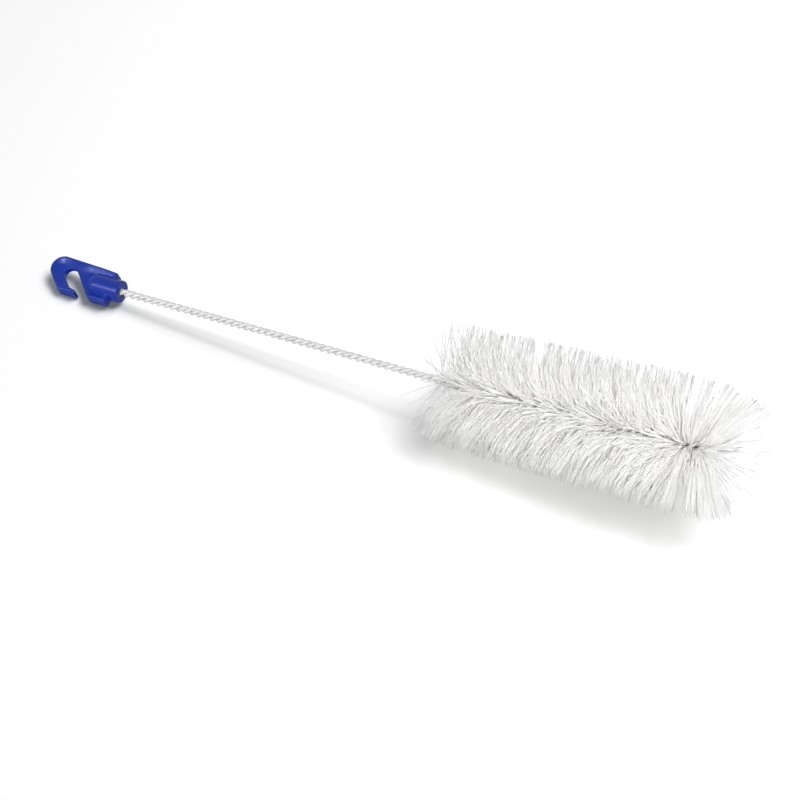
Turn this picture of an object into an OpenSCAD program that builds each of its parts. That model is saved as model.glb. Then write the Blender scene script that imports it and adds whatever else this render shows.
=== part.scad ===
// Bottle brush: a hook handle, one wire folded in half and twisted, and bristle tufts held in the twist.
// All lengths are in millimetres and all angles in degrees.
// The brush is drawn along +X, with x = 0 at the mouth of the handle's socket, and is then laid at rest:
// the handle's near rear corner and the rear of the bristle head touch the ground at z = 0.

/* [Handle] */
// Length of the flat body, from its back to its front end
body_l = 42.8; // [38:0.2:50]
// Distance of the spine edge from the axis, at the front end
spine_front_w = 9.2; // [8.4:0.1:9.9]
// Distance of the spine edge from the axis, at the top of the hook
spine_rear_w = 11; // [10:0.1:11.6]
// Distance of the near edge from the axis
near_w = 10.1; // [9:0.1:11]
// Radius of the outside of the hook
hook_r = 7.2; // [6.4:0.1:8]
// Rounding of the body's front corner at the spine
spine_corner_r = 1.4; // [1.4:0.1:3]
// Rounding of the body's two corners on the near edge
near_corner_r = 1.2; // [1.2:0.1:2]
// Thickness of the rim
rim_t = 7.2; // [6:0.1:8.5]
// Rounding of the rim's edges
rim_edge_r = 0.8; // [0.6:0.1:1.1]
// Width of the rim's flat top, from the outline to the dish
rim_w = 1.2; // [1:0.1:1.6]
// Depth of the dish in each face
dish_depth = 1.8; // [1:0.1:2.4]
// Width of the slope that leads down into the dish
dish_slope_w = 2.8; // [2:0.1:3.5]

/* [Hook opening] */
// Width of the slanted slot
slot_w = 8.8; // [7:0.1:9.5]
// Width of the hook's bar behind the slot, measured along the axis
hook_bar_w = 9.4; // [7.6:0.1:10]
// Height of the slot's round end above the axis
slot_rise = 1.6; // [0.5:0.1:2.5]
// Thickness of the lip at its root
lip_root_t = 3.2; // [3:0.1:4.5]
// Thickness of the lip at its tip
lip_tip_t = 2.3; // [1.6:0.1:2.8]
// Length of the lip, from the back of the body to its tip
lip_l = 22.4; // [18:0.2:24]
// Rounding of the corner inside the lip
lip_fillet_r = 1.4; // [1:0.1:2.5]

/* [Socket] */
// Diameter of the socket tube
tube_d = 12.9; // [11:0.1:14]
// Length of the tube's straight part
tube_l = 16; // [14:0.5:18]
// Length of tube that stands out past the body
collar_l = 5.6; // [3:0.2:6]
// Chamfer at the socket's mouth
collar_chamfer = 0.5; // [0.3:0.1:0.9]
// Length of wire held inside the handle
grip_l = 18; // [12:0.5:19]
// Clearance between the twisted wire and its socket, all round
socket_clearance = 0.1; // [0.05:0.05:0.2]
// Clearance behind the end of the wire
socket_end_clearance = 0.3; // [0.2:0.1:1]

/* [Wire] */
// Diameter of the coated wire
strand_d = 2.1; // [1.8:0.05:2.4]
// Length of one full turn of the twist
twist_pitch = 8.64; // [7.5:0.1:10]
// Gap between the two legs of the twist
leg_gap = 0.3; // [0.28:0.02:0.4]
// Length of bare wire between the handle and the bristles
stem_l = 203; // [150:1:240]
// Length over which the strands part to let the bristles in
opening_l = 6; // [4:0.5:10]

/* [Bristles] */
// Length of wire that carries bristles
head_l = 142; // [100:1:170]
// Radius of the head at its rear
head_rear_r = 32; // [28:0.5:36]
// Radius of the head at its front
head_front_r = 35.5; // [28:0.5:38]
// Distance between neighbouring tufts along the wire
tuft_step = 0.94; // [0.86:0.01:1.1]
// Thickness of a tuft where the strands pinch it
tuft_core_t = 0.5; // [0.3:0.05:0.6]
// Length along the wire of a pinched tuft
tuft_core_l = 0.5; // [0.3:0.05:0.55]
// Width of a tuft's end, around the head
tuft_end_w = 5; // [2:0.1:8]
// Length of a tuft's end, along the head
tuft_end_l = 1.6; // [0.8:0.1:3]
// Distance from the axis at which a tuft starts to spread
tuft_spread_r = 3; // [2.8:0.1:4]
// Clearance between a pinched tuft and each strand
pinch_clearance = 0.2; // [0.2:0.01:0.3]
// Lean of the tufts towards the handle
back_lean = 5; // [0:1:8]
// Forward lean of the last tuft
tip_lean = 62; // [40:1:65]
// Length of wire over which the tufts turn forward
fan_l = 14; // [10:0.5:20]

/* [Rest] */
// Roll of the handle about the brush's axis, near edge down
handle_roll = 20; // [10:1:28]
// Depth to which the rear tufts are pressed flat by the ground
flat_depth = 4; // [2:0.5:6]
// Upward bend of the head's core against the stem
head_bend = 1.3; // [0:0.1:3]
// Length over which the core bends
bend_l = 30; // [20:1:50]

/* [Hidden] */

wire_sides = 5;
rings_per_turn = 5.5;
fold_steps = 6;
arc_steps = 18;
nose_steps = 6;

// Handle outline: four corner circles, each [x, y, radius, inward x, inward y].
// The last two values are the move of the centre that keeps both edges at the same inset.
body_front = -collar_l;
body_back = body_front - body_l;
rear_slant = 45;
slant_shift = tan(rear_slant / 2);
hook_c = [body_back + hook_r, spine_rear_w - hook_r];
slot_c = [body_back + hook_bar_w + slot_w / 2, slot_rise];
// The slanted rear edge is a tangent of the hook's outer circle
slant_reach = (hook_c[0] + hook_c[1]) / sqrt(2) - hook_r;
near_rear_y = near_corner_r - near_w;
near_rear_x = (slant_reach + near_corner_r) * sqrt(2) - near_rear_y;
corners = [
    [hook_c[0], hook_c[1], hook_r, 1, -1],
    [body_front - spine_corner_r, spine_front_w - spine_corner_r, spine_corner_r, -1, -1],
    [body_front - near_corner_r, near_corner_r - near_w, near_corner_r, -1, 1],
    [near_rear_x, near_rear_y, near_corner_r, slant_shift, 1],
];
least_corner_r = 0.3;
function inset_corner(c, d) =
    let (r = max(c[2] - d, least_corner_r), move = d - (c[2] - r))
    [c[0] + c[3] * move, c[1] + c[4] * move, r];

// Rest pose: the tilt at which the handle's near rear corner and the rear tufts meet the ground
corner_drop = (near_w - near_corner_r) * sin(handle_roll) + (rim_t / 2 - rim_edge_r) * cos(handle_roll);
corner_round = (near_corner_r - rim_edge_r) * sin(handle_roll) + rim_edge_r;
reach = stem_l - near_rear_x;
climb = head_rear_r * cos(back_lean) - flat_depth - corner_drop;
rest_tilt = atan(climb / reach) - asin(corner_round / norm([reach, climb]));
rest_height = corner_round + corner_drop * cos(rest_tilt) - near_rear_x * sin(rest_tilt);
head_end = stem_l + head_l;

// The middle of the brush's length as it lies, from the back of the hook to the front of the last tuft.
// The tufts of the tip are those that turn forward.
tuft_count = floor(head_l / tuft_step);
tip_count = floor(fan_l / tuft_step) + 1;
last_x = tuft_x(tuft_count - 1);
last_lean = lean_at(last_x);
last_reach = last_x + arm_l(last_x) * sin(last_lean) + tuft_end_l / 2 * cos(last_lean);
front_x = last_reach * cos(rest_tilt) + tuft_spread_r * sin(rest_tilt);
back_x = hook_c[0] * cos(rest_tilt) - hook_r - rim_t / 2 * sin(rest_tilt);
middle_x = (front_x + back_x) / 2;

// Twist of the wire, opening of the strands and bend of the core, at a station x
function twist_at(x) = -360 * x / twist_pitch;
function ease(k) = let (c = min(max(k, 0), 1)) c * c * (3 - 2 * c);
function strand_offset(x) =
    let (apart = tuft_core_t / 2 + pinch_clearance, k = ease((x - stem_l + opening_l) / opening_l))
    strand_d / 2 + leg_gap / 2 * (1 - k) + apart * k;
function lift_at(x) =
    let (past = max(x - stem_l, 0), run = min(past, bend_l))
    tan(head_bend) * (run * run / (2 * bend_l) + past - run);
function bent(p) = [p[0], p[1], p[2] + lift_at(p[0])];
function height_of(p) = rest_height + p[0] * sin(rest_tilt) + p[2] * cos(rest_tilt);

// The wire: a hairpin of stations [x, offset, turn of the fold], twisted about the axis
leg_steps = ceil((grip_l + head_end) / twist_pitch * rings_per_turn);
leg_step = (grip_l + head_end) / leg_steps;
fold_r = strand_offset(head_end);
hairpin = concat(
    [for (i = [0 : leg_steps]) let (x = i * leg_step - grip_l) [x, strand_offset(x), 0]],
    [for (i = [1 : fold_steps - 1]) let (a = 180 * i / fold_steps)
        [head_end + fold_r * sin(a), fold_r * cos(a), a]],
    [for (i = [leg_steps : -1 : 0]) let (x = i * leg_step - grip_l) [x, -strand_offset(x), 180]]
);
function wire_centre(i) =
    let (s = hairpin[i], a = twist_at(s[0]))
    bent([s[0], s[1] * cos(a), s[1] * sin(a)]);
function wire_outward(i) =
    let (s = hairpin[i], a = twist_at(s[0]))
    [sin(s[2]), cos(s[2]) * cos(a), cos(s[2]) * sin(a)];
last_ring = len(hairpin) - 1;
function unit(v) = v / norm(v);
// The wire's two ends are cut square to the brush's axis
function wire_along(i) =
    i == 0 ? [1, 0, 0]
    : i == last_ring ? [-1, 0, 0]
    : unit(wire_centre(i + 1) - wire_centre(i - 1));
function wire_ring(i) =
    let (
        along = wire_along(i),
        out = unit(wire_outward(i) - (wire_outward(i) * along) * along),
        side = cross(along, out)
    )
    [for (k = [0 : wire_sides - 1]) let (a = 360 * k / wire_sides)
        wire_centre(i) + strand_d / 2 * (cos(a) * out + sin(a) * side)];

// A tuft: a bar through the axis with two spreading arms, four rings of four corners
function tuft_x(i) = stem_l + (i + 0.5) * tuft_step;
function lean_at(x) =
    tip_lean * pow(max(x - head_end + fan_l, 0) / fan_l, 1.5)
    - back_lean * (1 - ease((x - head_end + fan_l) / fan_l));
function arm_l(x) =
    head_rear_r + (head_front_r - head_rear_r) * (x - stem_l) / head_l - tuft_spread_r;
function corners_at(c, along, around, l, w) =
    [for (q = [[-1, -1], [1, -1], [1, 1], [-1, 1]]) c + q[0] * l / 2 * along + q[1] * w / 2 * around];
function grounded(from, to) =
    let (a = height_of(from), b = height_of(to))
    b >= 0 ? to : from + (to - from) * a / (a - b);
function arm_rings(x, a) =
    let (
        lean = lean_at(x),
        out = [0, cos(a), sin(a)],
        around = [0, -sin(a), cos(a)],
        root = [x, 0, 0] + tuft_spread_r * out,
        tip = root + arm_l(x) * (cos(lean) * out + [sin(lean), 0, 0]),
        near_ring = corners_at(root, [1, 0, 0], around, tuft_core_l, tuft_core_t),
        far_ring = corners_at(tip, [cos(lean), 0, 0] - sin(lean) * out, around, tuft_end_l, tuft_end_w)
    )
    [[for (p = near_ring) bent(p)], [for (k = [0 : 3]) grounded(bent(near_ring[k]), bent(far_ring[k]))]];
function tuft_points(i) =
    let (
        x = tuft_x(i),
        a = twist_at(x) + 90,
        one = arm_rings(x, a),
        two = arm_rings(x, a + 180),
        // The second arm's corners are listed the other way round, to match the first's
        flip = [3, 2, 1, 0]
    )
    concat(one[1], one[0], [for (k = flip) two[0][k]], [for (k = flip) two[1][k]]);

// Faces of a tube of rings, closed by its first and its last ring
function ring_faces(rings, sides, first) = concat(
    [[for (k = [0 : sides - 1]) first + k]],
    [[for (k = [sides - 1 : -1 : 0]) first + (rings - 1) * sides + k]],
    [for (r = [0 : rings - 2]) for (k = [0 : sides - 1])
        let (a = first + r * sides + k, b = first + r * sides + (k + 1) % sides)
        each [[a, a + sides, b + sides], [a, b + sides, b]]]
);

module at_rest() {
    translate([-middle_x, 0, rest_height]) rotate([0, -rest_tilt, 0]) children();
}

// One corner post of the rounded slab
module rounded_post(c) {
    shoulder = rim_edge_r * (1 - cos(45));
    for (s = [[0, rim_edge_r], [shoulder, shoulder], [rim_edge_r, 0]])
        translate([c[0], c[1], 0]) cylinder(h = rim_t - 2 * s[1], r = c[2] - s[0], center = true, $fn = 28);
}

// The sloping recess in one face
module dish() {
    over = 0.5;
    slope = dish_slope_w / dish_depth;
    hull() for (c = corners) {
        high = inset_corner(c, rim_w - over * slope);
        low = inset_corner(c, rim_w + dish_slope_w);
        translate([high[0], high[1], rim_t / 2 + over]) cylinder(h = 0.01, r = high[2], $fn = 28);
        translate([low[0], low[1], rim_t / 2 - dish_depth]) cylinder(h = 0.01, r = low[2], $fn = 28);
    }
}

// Outline of the slanted slot, less the lip that half closes its mouth
module slot_outline() {
    lip_tip_x = body_back + lip_l;
    root = [slot_c[0] - slot_w / sqrt(2) + slot_rise + near_w - lip_root_t, lip_root_t - near_w];
    tip = [lip_tip_x, lip_tip_t - near_w];
    across = slot_w / 2 * [sin(rear_slant), cos(rear_slant)];
    along = body_l * [cos(rear_slant), -sin(rear_slant)];
    difference() {
        polygon(concat(
            [for (k = [0 : arc_steps]) let (a = 90 - rear_slant + 180 * k / arc_steps)
                slot_c + slot_w / 2 * [cos(a), sin(a)]],
            [slot_c - across + along, slot_c + across + along]
        ));
        polygon([
            root + lip_fillet_r * [-0.8, 0.72],
            root + lip_fillet_r * [0.15, 0.1],
            root + lip_fillet_r * [1.1, -0.2],
            tip - [1.1, 0],
            tip - [0.3, 0.3],
            tip - [0, 1.1],
            [lip_tip_x, -near_w - 1],
            [body_back, -near_w - 1],
            [body_back, root[1] + 2 * lip_fillet_r],
        ]);
    }
}

// The tube that holds the wire, with a round nose and a chamfered mouth
module socket_tube() {
    tube_r = tube_d / 2;
    translate([-tube_l, 0, 0]) rotate([0, 90, 0]) rotate_extrude($fn = 48) polygon(concat(
        [for (k = [0 : nose_steps]) let (a = 90 * k / nose_steps) tube_r * [sin(a), -cos(a)]],
        [
            [tube_r, tube_l - collar_chamfer],
            [tube_r - collar_chamfer, tube_l],
            [0, tube_l],
        ]
    ));
}

module hook_handle() {
    bore_r = strand_d + leg_gap / 2 + socket_clearance;
    color([0.13, 0.18, 0.62]) at_rest() rotate([handle_roll, 0, 0]) difference() {
        union() {
            difference() {
                hull() for (c = corners) rounded_post(c);
                dish();
                mirror([0, 0, 1]) dish();
                translate([0, 0, -rim_t]) linear_extrude(2 * rim_t) slot_outline();
            }
            socket_tube();
        }
        translate([-grip_l - socket_end_clearance, 0, 0]) rotate([0, 90, 0])
            cylinder(h = grip_l + socket_end_clearance + 1, r = bore_r, $fn = 64);
    }
}

module twisted_wire() {
    points = [for (i = [0 : last_ring]) each wire_ring(i)];
    color([0.93, 0.93, 0.92]) at_rest()
        polyhedron(points, ring_faces(len(hairpin), wire_sides, 0));
}

module tufts(first, count) {
    points = [for (i = [first : first + count - 1]) each tuft_points(i)];
    color([0.96, 0.96, 0.95]) at_rest()
        polyhedron(points, [for (i = [0 : count - 1]) each ring_faces(4, 4, 16 * i)]);
}

module bristles() {
    tufts(0, tuft_count - tip_count);
}

module tip_bristles() {
    tufts(tuft_count - tip_count, tip_count);
}

hook_handle();
twisted_wire();
bristles();
tip_bristles();
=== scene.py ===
"""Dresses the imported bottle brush: single filaments, twisted strands, soft moulded plastic."""
import math
import bpy
import numpy as np
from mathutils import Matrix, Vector


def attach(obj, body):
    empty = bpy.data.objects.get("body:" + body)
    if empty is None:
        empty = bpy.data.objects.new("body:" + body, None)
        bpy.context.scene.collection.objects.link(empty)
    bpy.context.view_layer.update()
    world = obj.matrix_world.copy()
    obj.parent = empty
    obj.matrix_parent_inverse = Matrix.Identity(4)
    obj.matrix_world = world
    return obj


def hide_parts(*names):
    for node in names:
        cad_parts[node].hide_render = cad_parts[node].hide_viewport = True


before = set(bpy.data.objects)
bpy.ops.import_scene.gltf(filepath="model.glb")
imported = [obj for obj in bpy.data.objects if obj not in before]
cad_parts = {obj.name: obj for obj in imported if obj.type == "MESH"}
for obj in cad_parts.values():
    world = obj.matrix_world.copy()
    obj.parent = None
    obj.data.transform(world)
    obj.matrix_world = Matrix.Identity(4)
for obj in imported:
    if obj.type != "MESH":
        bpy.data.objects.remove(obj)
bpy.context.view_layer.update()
MM = 0.001

# ---------------------------------------------------------------- sizes, in millimetres
REST_TILT = math.radians(5.06317)
REST_HEIGHT = 9.85388
MIDDLE_X = 161.42
STRAND_R = 1.05
STRAND_GAP = 0.02
TWIST_PITCH = 8.64
STRANDS_APART = 0.45
STEM_L = 203.0
OPENING_L = 6.0
GRIP_L = 18.0
HEAD_L = 142.0
HEAD_END = STEM_L + HEAD_L
HEAD_REAR_R = 32.0
HEAD_FRONT_R = 35.5
HEAD_BEND = math.radians(1.3)
BEND_L = 30.0

# ---------------------------------------------------------------- camera
CAMERA_TARGET = Vector((0.02754, -0.02881, 0.03493))
CAMERA_DISTANCE = 1.0283
CAMERA_ELEVATION = math.radians(45.29)
CAMERA_AZIMUTH = math.radians(26.51)
CAMERA_LENS = 90.0
CAMERA_SENSOR_W = 36.0

camera_data = bpy.data.cameras.new("camera")
camera_data.lens = CAMERA_LENS
camera_data.sensor_width = CAMERA_SENSOR_W
camera = bpy.data.objects.new("camera", camera_data)
bpy.context.scene.collection.objects.link(camera)
toward_camera = Vector((
    math.cos(CAMERA_ELEVATION) * math.sin(CAMERA_AZIMUTH),
    -math.cos(CAMERA_ELEVATION) * math.cos(CAMERA_AZIMUTH),
    math.sin(CAMERA_ELEVATION)))
camera.location = CAMERA_TARGET + CAMERA_DISTANCE * toward_camera
camera.rotation_euler = (math.pi / 2 - CAMERA_ELEVATION, 0.0, CAMERA_AZIMUTH)
bpy.context.scene.camera = camera


# ---------------------------------------------------------------- placing points
def twist_at(x):
    return -2 * math.pi * x / TWIST_PITCH


def ease(k):
    c = np.clip(k, 0, 1)
    return c * c * (3 - 2 * c)


def lift_at(x):
    """How far the bend of the head's core lifts a point at x."""
    past = np.maximum(x - STEM_L, 0)
    run = np.minimum(past, BEND_L)
    return math.tan(HEAD_BEND) * (run * run / (2 * BEND_L) + past - run)


def at_rest(points):
    """Points of the straight brush, in millimetres, to points of it as it lies, in metres."""
    x, y, z = points[..., 0], points[..., 1], points[..., 2] + lift_at(points[..., 0])
    c, s = math.cos(REST_TILT), math.sin(REST_TILT)
    return np.stack([x * c - z * s - MIDDLE_X, y, x * s + z * c + REST_HEIGHT], axis=-1) * MM


def unit(v):
    return v / np.maximum(np.linalg.norm(v, axis=-1, keepdims=True), 1e-12)


def new_mesh(name, points, faces, material):
    mesh = bpy.data.meshes.new(name)
    mesh.from_pydata(points.reshape(-1, 3).tolist(), [], faces)
    mesh.update()
    mesh.shade_smooth()
    mesh.materials.append(material)
    piece = bpy.data.objects.new(name, mesh)
    bpy.context.scene.collection.objects.link(piece)
    return piece


def tubes(paths, radii, sides, reference):
    """One closed tube along each row of paths (n, rings, 3), with its radius at each ring.

    The reference is a direction that no path follows.
    """
    n, rings, _ = paths.shape
    along = unit(np.gradient(paths, axis=1))
    out = unit(np.cross(along, reference))
    side = np.cross(along, out)
    turn = 2 * math.pi * np.arange(sides) / sides
    circle = (np.cos(turn)[:, None] * out[:, :, None, :]
              + np.sin(turn)[:, None] * side[:, :, None, :])
    points = paths[:, :, None, :] + radii[:, :, None, None] * circle
    k = np.arange(sides)
    after = (k + 1) % sides
    ring = np.arange(rings - 1)[:, None] * sides
    quads = np.stack([ring + k, ring + after, ring + sides + after, ring + sides + k], -1)
    quads = quads.reshape(-1, 4)
    first = (np.arange(n) * rings * sides)[:, None, None]
    faces = (quads[None] + first).reshape(-1, 4).tolist()
    caps = np.stack([k[::-1], k + (rings - 1) * sides])
    faces += (caps[None] + first).reshape(-1, sides).tolist()
    return points, faces


# ---------------------------------------------------------------- materials
RAMP_FROM = 0.35
RAMP_TO = 0.65
GRAIN_DEPTH = 0.1 * MM


def material(name):
    made = bpy.data.materials.new(name)
    made.use_nodes = True
    nodes, links = made.node_tree.nodes, made.node_tree.links
    return made, nodes, links, nodes["Principled BSDF"]


def noise(nodes, links, scale, detail=3.0):
    where = nodes.new("ShaderNodeTexCoord")
    made = nodes.new("ShaderNodeTexNoise")
    made.inputs["Scale"].default_value = scale
    made.inputs["Detail"].default_value = detail
    links.new(where.outputs["Object"], made.inputs["Vector"])
    return made.outputs["Fac"]


def ramp(nodes, links, source, low, high):
    """The source's middle values as a run from the low colour to the high one."""
    made = nodes.new("ShaderNodeValToRGB")
    ends = zip(made.color_ramp.elements, (RAMP_FROM, RAMP_TO), (low, high))
    for element, position, color in ends:
        element.position = position
        element.color = (*color, 1)
    links.new(source, made.inputs["Fac"])
    return made.outputs["Color"]


def bump(nodes, links, shader, height, strength):
    made = nodes.new("ShaderNodeBump")
    made.inputs["Strength"].default_value = strength
    made.inputs["Distance"].default_value = GRAIN_DEPTH
    links.new(height, made.inputs["Height"])
    links.new(made.outputs["Normal"], shader.inputs["Normal"])


def grey(v):
    return (v, v, v)


def straight_rays(nodes, links):
    """1 for the camera's rays and those mirrored or let through, 0 for scattered light."""
    rays = nodes.new("ShaderNodeLightPath")
    total = rays.outputs["Is Camera Ray"]
    for kind in ("Is Glossy Ray", "Is Transmission Ray"):
        largest = nodes.new("ShaderNodeMath")
        largest.operation = "MAXIMUM"
        links.new(total, largest.inputs[0])
        links.new(rays.outputs[kind], largest.inputs[1])
        total = largest.outputs[0]
    return total


blue, nodes, links, shader = material("blue_plastic")
clouds = noise(nodes, links, 90.0)
links.new(ramp(nodes, links, clouds, (0.0045, 0.0265, 0.280), (0.0058, 0.0300, 0.308)),
          shader.inputs["Base Color"])
grain = noise(nodes, links, 900.0, 2.0)
links.new(ramp(nodes, links, grain, grey(0.28), grey(0.33)), shader.inputs["Roughness"])
shader.inputs["Specular IOR Level"].default_value = 0.22
bump(nodes, links, shader, grain, 0.12)

coating, nodes, links, shader = material("coated_wire")
clouds = noise(nodes, links, 260.0)
links.new(ramp(nodes, links, clouds, (0.63, 0.63, 0.62), (0.73, 0.73, 0.72)),
          shader.inputs["Base Color"])
links.new(ramp(nodes, links, clouds, grey(0.38), grey(0.52)), shader.inputs["Roughness"])
bump(nodes, links, shader, clouds, 0.15)

nylon, nodes, links, shader = material("white_filament")
streaks = noise(nodes, links, 420.0)
links.new(ramp(nodes, links, streaks, (0.95, 0.945, 0.93), (0.985, 0.98, 0.97)),
          shader.inputs["Base Color"])
shader.inputs["Roughness"].default_value = 0.45
shader.inputs["Subsurface Weight"].default_value = 1.0
shader.inputs["Subsurface Radius"].default_value = (1.0, 1.0, 1.0)
shader.inputs["Subsurface Scale"].default_value = 0.004

# ---------------------------------------------------------------- handle
# x along the brush from the collar's face, y towards the spine, z square to the flat
BODY_L = 42.8
COLLAR_L = 5.6
SPINE_FRONT_W = 9.2
SPINE_REAR_W = 11.0
NEAR_W = 10.1
HOOK_R = 7.2
SPINE_CORNER_R = 1.4
NEAR_CORNER_R = 1.0
RIM_T = 7.2
SLOT_W = 8.0
SLOT_RISE = 1.6
SLOT_EDGE_R = 0.4
HOOK_BAR_W = 9.8
LIP_ROOT_T = 3.2
LIP_TIP_T = 2.3
LIP_L = 22.4
LIP_FILLET_R = 1.6
LIP_TIP_R = 1.5
TUBE_R = 6.45
TUBE_L = 16.0
TUBE_EDGE_R = 0.6
TUBE_FILLET_R = 0.25
BORE_R = 2.32
MOUTH_R = 0.35
SOCKET_END = 18.3
HANDLE_ROLL = math.radians(20)
BACK = -COLLAR_L - BODY_L
DIAGONAL = math.sqrt(0.5)
HULL_STEP = 2.5

# the rim's edge is rounder along the near side above, and at the spine's front end below
RIM_EDGE_R = 1.0
NEAR_EDGE_R = 2.0
NEAR_EDGE_Y = -4.0
NEAR_CHANGE_W = 4.0
FRONT_EDGE_R = 1.6
FRONT_EDGE_X = -13.0
FRONT_EDGE_Y = 3.0
FRONT_CHANGE_L = 6.0
FRONT_CHANGE_W = 4.0

# the dish slopes in more gently between the hook and the tube, and more steeply on the hook
DISH_DEPTH = 1.8
DISH_FROM = 0.6
DISH_STRAIGHT = 0.65
DISH_EASED = 0.35
DISH_W = 4.4
DISH_EASED_W = 7.4
DISH_EASED_X = -31.0
DISH_EASED_L = 9.0
DISH_HOOK_W = 4.0
DISH_HOOK_X = -39.0
DISH_HOOK_L = 4.0

# the grid on which the surface is found
CELL = 0.3
GRID_MARGIN = 1.0
GRID_HALF_T = 7.2
REFININGS = 3
LEAST_SLOPE = 0.2


def round_max(a, b, r):
    """Common part of two shapes, with the edge between them rounded."""
    return np.minimum(-r, np.maximum(a, b)) + np.hypot(np.maximum(a + r, 0), np.maximum(b + r, 0))


def round_min(a, b, r):
    """Two shapes joined, with a fillet between them."""
    return -round_max(-a, -b, r)


def outline_distance(x, y):
    """Distance outside the hull of the four corner circles, negative inside."""
    hook = (BACK + HOOK_R, SPINE_REAR_W - HOOK_R)
    slant = (hook[0] + hook[1]) * DIAGONAL - HOOK_R
    near_y = NEAR_CORNER_R - NEAR_W
    circles = [
        (*hook, HOOK_R),
        (-COLLAR_L - SPINE_CORNER_R, SPINE_FRONT_W - SPINE_CORNER_R, SPINE_CORNER_R),
        (-COLLAR_L - NEAR_CORNER_R, near_y, NEAR_CORNER_R),
        ((slant + NEAR_CORNER_R) / DIAGONAL - near_y, near_y, NEAR_CORNER_R)]
    far = np.full(np.shape(x), -np.inf)
    for a in np.radians(np.arange(0, 360, HULL_STEP)):
        n = (math.cos(a), math.sin(a))
        reach = max(c[0] * n[0] + c[1] * n[1] + c[2] for c in circles)
        far = np.maximum(far, x * n[0] + y * n[1] - reach)
    return far


def slot_edge_distance(x, y):
    """Distance outside the hook's bar and lip as they border the slot, negative in the plastic."""
    sx, sy = x - (BACK + HOOK_BAR_W + SLOT_W / 2), y - SLOT_RISE
    run = np.maximum((sx - sy) * DIAGONAL, 0)
    bar = SLOT_W / 2 - np.hypot(sx - run * DIAGONAL, sy + run * DIAGONAL)
    tip = (BACK + LIP_L, LIP_TIP_T - NEAR_W)
    root_x = BACK + HOOK_BAR_W + SLOT_RISE + NEAR_W - LIP_ROOT_T - SLOT_W * (DIAGONAL - 0.5)
    root = (root_x, LIP_ROOT_T - NEAR_W)
    n = unit(np.array([root[1] - tip[1], tip[0] - root[0]]))
    top = (x - tip[0]) * n[0] + (y - tip[1]) * n[1]
    lip = round_max(top, x - tip[0], LIP_TIP_R)
    return round_min(bar, lip, LIP_FILLET_R)


def rim_edge_radius(x, y, z):
    near = ease((NEAR_EDGE_Y - y) / NEAR_CHANGE_W)
    front = ease((y - FRONT_EDGE_Y) / FRONT_CHANGE_W) * ease((x - FRONT_EDGE_X) / FRONT_CHANGE_L)
    above = RIM_EDGE_R + (NEAR_EDGE_R - RIM_EDGE_R) * near
    below = RIM_EDGE_R + (FRONT_EDGE_R - RIM_EDGE_R) * front
    return np.where(z > 0, above, below)


def handle_distance(p):
    """How far each point lies outside the handle, negative in the plastic."""
    x, y, z = p[..., 0], p[..., 1], p[..., 2]
    outer = outline_distance(x, y)
    eased = ease(1 - np.abs(x - DISH_EASED_X) / DISH_EASED_L)
    wide = DISH_W + (DISH_EASED_W - DISH_W) * eased
    wide = wide + (DISH_HOOK_W - DISH_W) * ease((DISH_HOOK_X - x) / DISH_HOOK_L)
    k = np.clip((-outer - DISH_FROM) / wide, 0, 1)
    dish = DISH_DEPTH * (DISH_STRAIGHT * k + DISH_EASED * ease(k))
    slab = round_max(outer, np.abs(z) - RIM_T / 2 + dish, rim_edge_radius(x, y, z))
    slab = round_max(slab, slot_edge_distance(x, y), SLOT_EDGE_R)
    radial = np.hypot(y, z)
    tube = np.hypot(np.minimum(x + TUBE_L, 0), radial) - TUBE_R
    tube = round_max(tube, x, TUBE_EDGE_R)
    bore = np.maximum(radial - BORE_R, -x - SOCKET_END)
    return round_max(round_min(slab, tube, TUBE_FILLET_R), -bore, MOUTH_R)


def slope_of(distance, points, step):
    rises = [distance(points + step * e) - distance(points - step * e) for e in np.eye(3)]
    return np.stack(rises, -1) / (2 * step)


def surface_of(distance, low, high, cell):
    """Even quads where distance is zero: one point in each grid cell that the surface crosses."""
    counts = [int(math.ceil((b - a) / cell)) + 1 for a, b in zip(low, high)]
    axes = [a + cell * np.arange(n) for a, n in zip(low, counts)]
    field = distance(np.stack(np.meshgrid(*axes, indexing="ij"), -1))
    hits = np.zeros([n - 1 for n in counts])
    total = np.zeros([n - 1 for n in counts] + [3])
    crossings = []
    for axis in range(3):
        near = np.take(field, np.arange(counts[axis] - 1), axis)
        far = np.take(field, np.arange(1, counts[axis]), axis)
        where = np.argwhere((near < 0) != (far < 0))
        a, b = near[tuple(where.T)], far[tuple(where.T)]
        at = where.astype(float)
        at[:, axis] += a / (a - b)
        one, two = (axis + 1) % 3, (axis + 2) % 3
        cells = []
        for i, j in ((0, 0), (1, 0), (1, 1), (0, 1)):
            around = where.copy()
            around[:, one] -= i
            around[:, two] -= j
            cells.append(around)
            np.add.at(hits, tuple(around.T), 1)
            np.add.at(total, tuple(around.T), at)
        ring = np.stack(cells, 1)
        ring[a > 0] = ring[a > 0][:, ::-1]
        crossings.append(ring)
    number = np.cumsum(hits.ravel() > 0).reshape(hits.shape) - 1
    inside = hits > 0
    points = total[inside] / hits[inside][:, None] * cell + np.array(low)
    faces = number[tuple(np.moveaxis(np.concatenate(crossings), -1, 0))]
    for _ in range(REFININGS):
        slope = slope_of(distance, points, cell / 8)
        steep = np.maximum((slope ** 2).sum(-1), LEAST_SLOPE)
        points = points - (distance(points) / steep)[:, None] * slope
    return points, faces.tolist()


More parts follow.
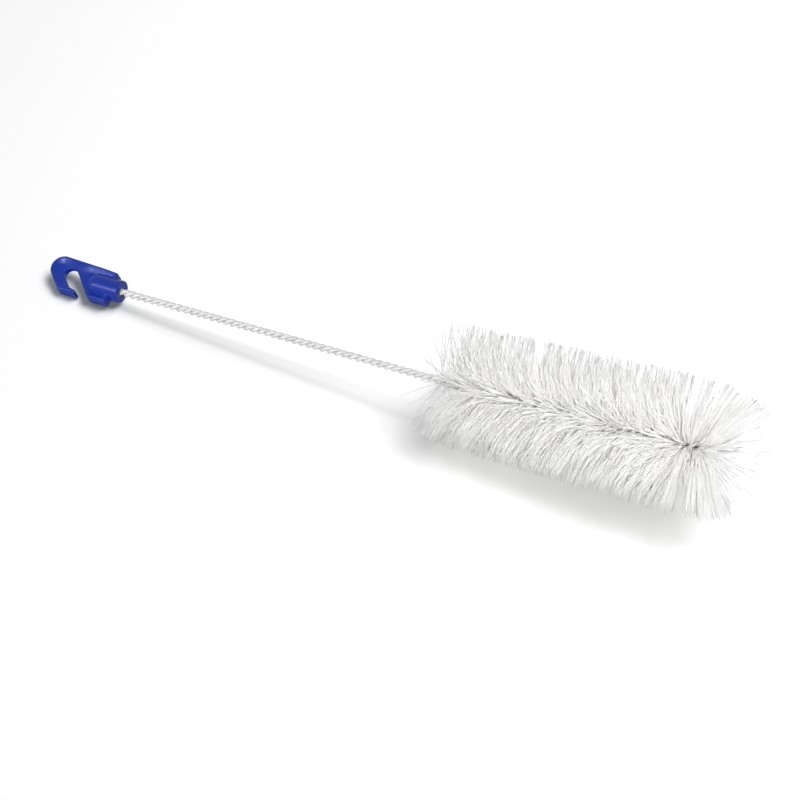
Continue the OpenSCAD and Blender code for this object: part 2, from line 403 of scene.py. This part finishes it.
grid_low = (BACK - GRID_MARGIN, -NEAR_W - GRID_MARGIN, -GRID_HALF_T)
grid_high = (GRID_MARGIN, SPINE_REAR_W + GRID_MARGIN, GRID_HALF_T)
points, faces = surface_of(handle_distance, grid_low, grid_high, CELL)
c, s = math.cos(HANDLE_ROLL), math.sin(HANDLE_ROLL)
points = points @ np.array([[1, 0, 0], [0, c, s], [0, -s, c]])
handle = new_mesh("moulded_handle", at_rest(points), faces, blue)
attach(handle, "root")
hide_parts("hook_handle")

# ---------------------------------------------------------------- wire
RINGS_PER_TURN = 26
WIRE_SIDES = 14
FOLD_STEPS = 12


def strand_offset(x):
    """How far each strand's middle is from the axis: the strands part where the bristles start."""
    k = ease((x - STEM_L + OPENING_L) / OPENING_L)
    return STRAND_R + STRAND_GAP + (STRANDS_APART - STRAND_GAP) * k


steps = int((GRIP_L + HEAD_END) / TWIST_PITCH * RINGS_PER_TURN)
x = np.linspace(-GRIP_L, HEAD_END, steps + 1)
fold = np.linspace(0, math.pi, FOLD_STEPS + 1)[1:-1]
fold_r = strand_offset(HEAD_END)
stations = np.concatenate([
    np.stack([x, strand_offset(x)], -1),
    np.stack([HEAD_END + fold_r * np.sin(fold), fold_r * np.cos(fold)], -1),
    np.stack([x, -strand_offset(x)], -1)[::-1]])
angle = twist_at(stations[:, 0])
along, out = stations[:, 0], stations[:, 1]
path = np.stack([along, out * np.cos(angle), out * np.sin(angle)], -1)
path = at_rest(path)[None]
radii = np.full(path.shape[:2], STRAND_R * MM)
points, faces = tubes(path, radii, WIRE_SIDES, np.array([0.0, 0.31, 0.95]))
wire = new_mesh("wire_strands", points, faces, coating)
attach(wire, "root")
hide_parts("twisted_wire")

# ---------------------------------------------------------------- bristles
RNG = np.random.default_rng(11)

# filaments, each with two arms: fewer at the head's start, more in the fan, a few strays
FILAMENTS = 1550
FIRST_KEPT = 0.10
MORE_KEPT = 0.90
SPARSE_L = 7.0
FAN_EXTRA = 190
STRAYS = 12
STRAYS_FROM = -4
STRAYS_TO = 1.5

# one arm: its rings and sides, its thickness, its length past the head's radius
SEGMENTS = 6
FILAMENT_SIDES = 4
FILAMENT_R = 0.225
THINNEST = 0.85
THICKEST = 1.15
TIP_TAPER = 0.8
ROOT_R = 0.15
PAST_HEAD = 0.3
MOST_PAST_HEAD = 1.0
LENGTH_SD = 0.018
FLOOR_CLEARANCE = 0.2 * MM

# directions, in degrees: the spread about the spiral, the lean forward along the brush
SPREAD_SD = 25
FAN_SPREAD = 0.4
LEAN_SD = 3.0
LOOSE_LEAN = 2
BACK_LEAN = 5.0
TIP_LEAN = 40.0
LEAN_GROWTH = 1.3
FAN_L = 14.0
FAN_NECK = 2.5
NECK_RATE = 3

# the share that bends back along the brush, more where the fan starts, and its lean
SWEPT = 0.14
SWEPT_FROM = 2
SWEPT_CHANGE_L = 16
SWEPT_LEAN = 24
SWEPT_LEAN_SD = 10
FRONT_SWEPT = 0.45
FRONT_SWEPT_L = 24.0
FRONT_START_L = 8
FRONT_STOP_L = 5
FRONT_INTO_FAN = 3
FRONT_SWEPT_LEAN = 18

# bends, and the places where tips gather
BOW_ALONG_SD = 0.2
BOW_AROUND_SD = 0.25
GATHERINGS = 420
GATHER_BEHIND = 4
GATHER_AHEAD = 6
GATHER_REACH = 9
GATHER_PULL = 0.22
GATHER_BEND = 1.6


def head_radius(x):
    return HEAD_REAR_R + (HEAD_FRONT_R - HEAD_REAR_R) * (x - STEM_L) / HEAD_L


def fan_share(x):
    """0 along the head, rising to 1 over the fan at its front end."""
    return np.clip((x - HEAD_END + FAN_L) / FAN_L, 0, 1)


def lean_at(x):
    past = fan_share(x)
    return np.radians(TIP_LEAN * past ** LEAN_GROWTH - BACK_LEAN * (1 - ease(past)))


def filament_paths(x0, angle, lean, length, bow_x, bow_w, pull_x, pull_w):
    """Paths of thin arms that leave the axis at x0, with their bends and their tips' shift."""
    t = np.linspace(0, 1, SEGMENTS + 1)[None]
    run = length[:, None] * t
    reach = ROOT_R + run * np.cos(lean)[:, None]
    along = x0[:, None] + run * np.sin(lean)[:, None]
    along = along + FAN_NECK * fan_share(x0)[:, None] * ease(t * NECK_RATE)
    along = along + bow_x[:, None] * t * (1 - t) * 4 + pull_x[:, None] * t ** GATHER_BEND
    around = bow_w[:, None] * t * (1 - t) * 4 + pull_w[:, None] * t ** GATHER_BEND
    c, s = np.cos(angle)[:, None], np.sin(angle)[:, None]
    return np.stack([along, reach * c - around * s, reach * s + around * c], -1)


def grounded(paths, clearance):
    """Filaments that would pass through the ground bend along it instead, at their full length."""
    steps = np.diff(paths, axis=1)
    lengths = np.linalg.norm(steps, axis=-1)
    laid = paths.copy()
    for i in range(steps.shape[1]):
        step = steps[:, i].copy()
        low = laid[:, i, 2] + step[:, 2] < clearance
        drop = clearance - laid[:, i, 2]
        level = np.sqrt(np.maximum(lengths[:, i] ** 2 - drop ** 2, 0))
        # an arm that points straight down turns back along the brush
        heading = unit(step * np.array([1, 1, 0]) + np.array([-1e-9, 0, 0]))
        bent = heading * level[:, None]
        bent[:, 2] = drop
        step[low] = bent[low]
        laid[:, i + 1] = laid[:, i] + step
    return laid


def clump_shift(x, angle, pull):
    """Shift of each tip towards the nearest of the places where tips gather."""
    gather_x = RNG.uniform(STEM_L - GATHER_BEHIND, HEAD_END + GATHER_AHEAD, GATHERINGS)
    gather_a = RNG.uniform(-math.pi, math.pi, GATHERINGS)
    wrapped = (angle[:, None] - gather_a[None] + math.pi) % (2 * math.pi) - math.pi
    dx = gather_x[None] - x[:, None]
    dw = -wrapped * head_radius(x)[:, None]
    nearest = np.argmin(dx ** 2 + dw ** 2, axis=1)
    row = np.arange(len(x))
    reach = np.hypot(dx[row, nearest], dw[row, nearest])
    keep = pull * np.minimum(1, GATHER_REACH / np.maximum(reach, 1e-6))
    return dx[row, nearest] * keep, dw[row, nearest] * keep


# where the arms leave the axis
x0 = (np.arange(FILAMENTS) + RNG.uniform(0, 1, FILAMENTS)) / FILAMENTS
x0 = STEM_L + HEAD_L * x0
kept = FIRST_KEPT + MORE_KEPT * ease((x0 - STEM_L) / SPARSE_L)
x0 = x0[RNG.uniform(0, 1, FILAMENTS) < kept]
fan = HEAD_END - FAN_L * RNG.uniform(0, 1, FAN_EXTRA)
strays = STEM_L + RNG.uniform(STRAYS_FROM, STRAYS_TO, STRAYS)
x0 = np.tile(np.concatenate([x0, fan, strays]), 2)
count = len(x0)
arm = np.repeat([0.0, math.pi], count // 2)
fanned = fan_share(x0)

# where they point
spread = RNG.normal(0, math.radians(SPREAD_SD), count) * (1 + FAN_SPREAD * fanned)
angle = twist_at(x0) + math.pi / 2 + arm + spread
loose = 1 - ease((x0 - STEM_L) / SPARSE_L)
lean = lean_at(x0) + RNG.normal(0, math.radians(LEAN_SD), count) * (1 + LOOSE_LEAN * loose)

# some bend back along the brush, but none in the fan's front half
starts = ease((x0 - HEAD_END + FRONT_SWEPT_L) / FRONT_START_L)
stops = ease((x0 - HEAD_END + FAN_L - FRONT_INTO_FAN) / FRONT_STOP_L)
front = starts * (1 - stops)
share = (SWEPT + (FRONT_SWEPT - SWEPT) * front) * (fanned < 0.5)
share = share * ease((x0 - STEM_L - SWEPT_FROM) / SWEPT_CHANGE_L)
swept = RNG.uniform(0, 1, count) < share
back = np.abs(RNG.normal(SWEPT_LEAN, SWEPT_LEAN_SD, count))
back = back + FRONT_SWEPT_LEAN * front * RNG.uniform(0, 1, count)
lean = lean - swept * np.radians(back)

length = (head_radius(x0) + PAST_HEAD) * RNG.normal(1.0, LENGTH_SD, count)
length = np.minimum(length, head_radius(x0) + MOST_PAST_HEAD)
pull_x, pull_w = clump_shift(x0, angle, GATHER_PULL * (1 - fanned))
bow_x = RNG.normal(0, BOW_ALONG_SD, count)
bow_w = RNG.normal(0, BOW_AROUND_SD, count)
paths = filament_paths(x0, angle, lean, length, bow_x, bow_w, pull_x, pull_w)
paths = grounded(at_rest(paths), FLOOR_CLEARANCE)
thickness = RNG.uniform(THINNEST, THICKEST, count)
taper = np.linspace(1.0, TIP_TAPER, SEGMENTS + 1)[None] * thickness[:, None]
radii = FILAMENT_R * MM * taper
points, faces = tubes(paths, radii, FILAMENT_SIDES, np.array([1.0, 0.02, 0.09]))
head = new_mesh("filaments", points, faces, nylon)
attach(head, "root")
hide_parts("bristles", "tip_bristles")

# ---------------------------------------------------------------- floor, world
FLOOR_SIZE = 6.0
FADE_FROM = 0.40
FADE_TO = 0.95
AMBIENT = 0.16


def colored(nodes, kind, color, strength=None):
    made = nodes.new(kind)
    made.inputs["Color"].default_value = (*color, 1)
    if strength is not None:
        made.inputs["Strength"].default_value = strength
    return made.outputs[0]


def mixed(nodes, links, share, first, second):
    made = nodes.new("ShaderNodeMixShader")
    links.new(share, made.inputs["Fac"])
    links.new(first, made.inputs[1])
    links.new(second, made.inputs[2])
    return made.outputs[0]


half = FLOOR_SIZE / 2
corners = [(-half, -half, 0), (half, -half, 0), (half, half, 0), (-half, half, 0)]
floor_mesh = bpy.data.meshes.new("floor")
floor_mesh.from_pydata(corners, [], [(0, 1, 2, 3)])
floor = bpy.data.objects.new("floor", floor_mesh)
bpy.context.scene.collection.objects.link(floor)

# seen straight, the floor is white paper that fades to plain white away from the brush
paper = bpy.data.materials.new("white_floor")
paper.use_nodes = True
nodes, links = paper.node_tree.nodes, paper.node_tree.links
nodes.clear()
output = nodes.new("ShaderNodeOutputMaterial")
plain = colored(nodes, "ShaderNodeBsdfDiffuse", grey(0.4))
seen = colored(nodes, "ShaderNodeBsdfDiffuse", (0.97, 0.955, 0.96))
lift = colored(nodes, "ShaderNodeEmission", (0.07, 0.085, 0.08), 1.0)
both = nodes.new("ShaderNodeAddShader")
links.new(seen, both.inputs[0])
links.new(lift, both.inputs[1])
bare = colored(nodes, "ShaderNodeEmission", grey(1), 1.0)
where = nodes.new("ShaderNodeTexCoord")
away = nodes.new("ShaderNodeVectorMath")
away.operation = "LENGTH"
links.new(where.outputs["Object"], away.inputs[0])
fade = nodes.new("ShaderNodeMapRange")
fade.interpolation_type = "SMOOTHSTEP"
fade.inputs["From Min"].default_value = FADE_FROM
fade.inputs["From Max"].default_value = FADE_TO
links.new(away.outputs["Value"], fade.inputs["Value"])
backdrop = mixed(nodes, links, fade.outputs["Result"], both.outputs[0], bare)
surface = mixed(nodes, links, straight_rays(nodes, links), plain, backdrop)
links.new(surface, output.inputs["Surface"])
floor_mesh.materials.append(paper)

world = bpy.data.worlds.new("studio")
bpy.context.scene.world = world
world.use_nodes = True
nodes, links = world.node_tree.nodes, world.node_tree.links
nodes.clear()
output = nodes.new("ShaderNodeOutputWorld")
ambient = colored(nodes, "ShaderNodeBackground", grey(1), AMBIENT)
white = colored(nodes, "ShaderNodeBackground", grey(1), 1.0)
surface = mixed(nodes, links, straight_rays(nodes, links), ambient, white)
links.new(surface, output.inputs["Surface"])

# ---------------------------------------------------------------- lamps
# places and sizes in metres, power in watts
KEY_WIDE = 1.3
KEY_DEEP = 1.2
FRONT_PLACE = (-0.50, -1.70, 1.40)
FRONT_WIDE = 2.4


def softbox(name, place, wide, deep, power):
    """A lamp at a place, turned about X alone towards the brush's axis, wide along X."""
    data = bpy.data.lights.new(name, "AREA")
    data.shape = "RECTANGLE"
    data.size = wide
    data.size_y = deep
    data.energy = power
    lamp = bpy.data.objects.new(name, data)
    bpy.context.scene.collection.objects.link(lamp)
    lamp.location = place
    lamp.rotation_euler = Vector((0, -place[1], -place[2])).to_track_quat("-Z", "Y").to_euler()
    return lamp


def only(name, *pieces):
    made = bpy.data.collections.new(name)
    for piece in pieces:
        made.objects.link(piece)
    return made


bristly = only("bristly", head)
dense = only("dense", handle, wire)
ground = only("ground", floor)

# part of the floor's light passes the bristles, as it does through thin white nylon
for name, place, power, blockers in (
        ("key", (1.05, 0.24, 2.08), 42.0, None),
        ("key_through", (0.55, 0.98, 1.98), 20.0, dense)):
    lamp = softbox(name, place, KEY_WIDE, KEY_DEEP, power)
    lamp.visible_glossy = False
    lamp.light_linking.receiver_collection = ground
    if blockers:
        lamp.light_linking.blocker_collection = blockers

# the bristles shade each other, so the lamps have one power for them and one for the rest
for name, place, wide, deep, on_bristles, on_dense in (
        ("top", (0.60, 0.58, 2.10), 1.6, 1.9, 7.5, 2.8),
        ("front", FRONT_PLACE, FRONT_WIDE, 0.14, 11.0, 34.0),
        ("right", (1.45, -0.80, 1.00), 1.0, 1.0, 38.0, 5.6),
        ("fill", (0.60, -1.40, 1.55), 0.5, 0.5, 50.0, 17.0),
        ("behind", (-0.80, 1.60, 0.80), 1.4, 1.4, 6.5, 8.0)):
    for pieces, power in ((bristly, on_bristles), (dense, on_dense)):
        lamp = softbox(name, place, wide, deep, power)
        lamp.visible_glossy = False
        lamp.light_linking.receiver_collection = pieces

# the only lamp whose gloss shows
gleam = softbox("gleam", FRONT_PLACE, FRONT_WIDE, 0.35, 84.0)
gleam.visible_diffuse = False
gleam.light_linking.receiver_collection = dense

# light passes many filaments before it comes out
bpy.context.scene.cycles.max_bounces = 24
bpy.context.scene.cycles.diffuse_bounces = 16
bpy.context.scene.cycles.transmission_bounces = 16

bpy.context.scene.view_settings.view_transform = "Standard"
